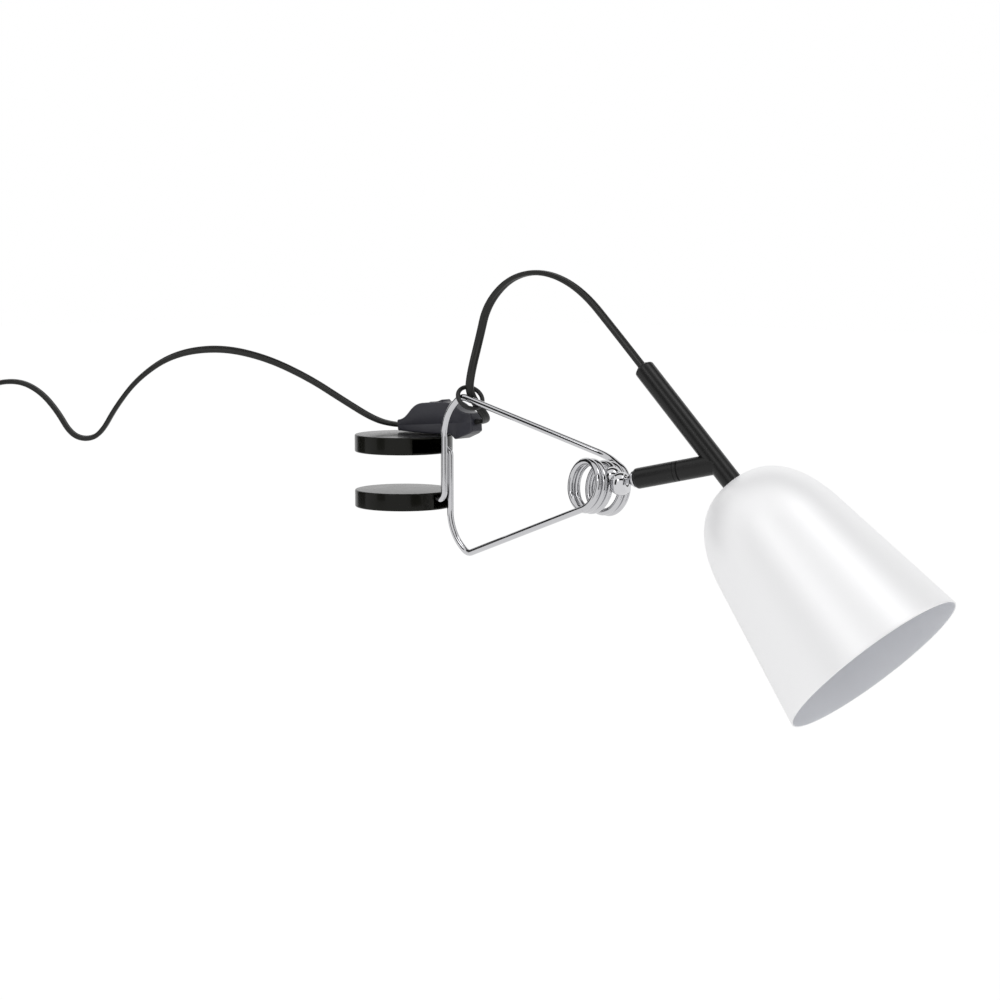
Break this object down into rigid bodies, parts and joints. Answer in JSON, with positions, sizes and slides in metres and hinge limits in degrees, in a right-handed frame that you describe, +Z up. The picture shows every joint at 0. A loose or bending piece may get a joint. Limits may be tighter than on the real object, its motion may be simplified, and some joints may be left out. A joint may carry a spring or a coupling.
{
  "type": "clip-on spot lamp",
  "caption": "Clip-on spot lamp: spring-wire clip with two round pads, a ball joint, a short black arm, a white bell shade, a cord with a rocker switch and a flat plug.",
  "frame": {"origin": "centre of the upper pad's grip face, on top of the board", "axes": "+Z up, +X from the pads along the clip to its coil and arm"},
  "size_m": [0.6646, 0.2919, 0.2334],
  "materials": {
    "pad": "satin black, moulded",
    "spring_wire": "bright chromed spring wire",
    "joint_metal": "bright chromed",
    "screw_steel": "zinc plated",
    "seat_nylon": "nylon",
    "arm_paint": "satin black",
    "sleeve_brass": "plain brass",
    "swivel_washer": "black nylon",
    "bush": "black",
    "shade_white": "gloss white",
    "holder_black": "black phenolic",
    "shell_brass": "plain brass",
    "cord": "black flex, satin",
    "cord_ring": "black",
    "coil_tie": "black strap",
    "switch_shell": "dark blue-grey",
    "rocker": "dark blue-grey",
    "plug": "black",
    "plug_pin": "nickel plated brass"
  },
  "bodies": {
    "clip": {"lower_leg": "spring_wire", "front_coil": "spring_wire", "coil_bridge": "spring_wire", "rear_coil": "spring_wire", "socket_body": "joint_metal", "grub_screw": "screw_steel", "cord_loop": "cord", "cord_lead": "cord", "lead_coil": "cord", "coil_tie": "coil_tie", "plug_strain": "plug", "plug_body": "plug", "plug_pins": "plug_pin"},
    "upper_leg": {"upper_leg": "spring_wire", "cord_ring": "cord_ring"},
    "upper_pad": {"upper_pad": "pad", "switch_cover": "switch_shell", "switch_base": "switch_shell", "switch_screws": "sleeve_brass", "rocker_pin": "screw_steel"},
    "lower_pad": {"lower_pad": "pad"},
    "rocker": {"switch_rocker": "rocker"},
    "ball_seat": {"ball_seat": "seat_nylon"},
    "short_arm": {"ball_stud": "joint_metal", "joint_collar": "joint_metal", "stub_base": "arm_paint", "stud_nut": "screw_steel", "swivel_sleeve": "sleeve_brass", "swivel_washer": "swivel_washer"},
    "head": {"tee_stub": "arm_paint", "arm_tube": "arm_paint", "cord_bush": "bush", "nipple": "screw_steel", "shade": "shade_white", "shade_washer": "screw_steel", "lock_nut": "screw_steel", "holder_cap": "holder_black", "holder_body": "holder_black", "holder_terminals": "sleeve_brass", "contact_sleeve": "shell_brass", "centre_contact": "sleeve_brass", "inner_lead": "cord"}
  },
  "joints": [
    {"name": "jaw_hinge", "type": "hinge", "parent": "clip", "child": "upper_leg", "pos_m": [0.1416, 0, -0.011], "axis": [0, 1, 0], "range_deg": [-5, 6.5], "stiffness_Nm_per_rad": 1.5, "deforming": ["rear_coil"]},
    {"name": "upper_pad_tilt", "type": "hinge", "parent": "clip", "child": "upper_pad", "pos_m": [0.004, 0, 0.0036], "axis": [0, 1, 0], "range_deg": [-1.3, 6], "deforming": ["cord_loop", "cord_lead"]},
    {"name": "lower_pad_tilt", "type": "hinge", "parent": "upper_leg", "child": "lower_pad", "pos_m": [0.004, 0, -0.0256], "axis": [0, 1, 0], "range_deg": [-6, 1.3]},
    {"name": "rocker_tip", "type": "hinge", "parent": "upper_pad", "child": "rocker", "pos_m": [0.01586, 0.0146, 0.02437], "axis": [0, -1, 0], "range_deg": [-12, 0]},
    {"name": "ball_swing", "type": "hinge", "parent": "clip", "child": "ball_seat", "pos_m": [0.15983, -0.00124, -0.00651], "axis": [0, 0, 1], "range_deg": [-20, 20], "deforming": ["cord_loop"]},
    {"name": "ball_tilt", "type": "hinge", "parent": "ball_seat", "child": "short_arm", "pos_m": [0.15983, -0.00124, -0.00651], "axis": [-0.3007, 0.9537, 0], "range_deg": [-18, 18], "deforming": ["cord_loop"]},
    {"name": "head_swivel", "type": "hinge", "parent": "short_arm", "child": "head", "pos_m": [0.18963, 0.00816, 0.00037], "axis": [0.9315, 0.2937, 0.2147], "range_deg": [-60, 60], "deforming": ["cord_loop"]}
  ]
}
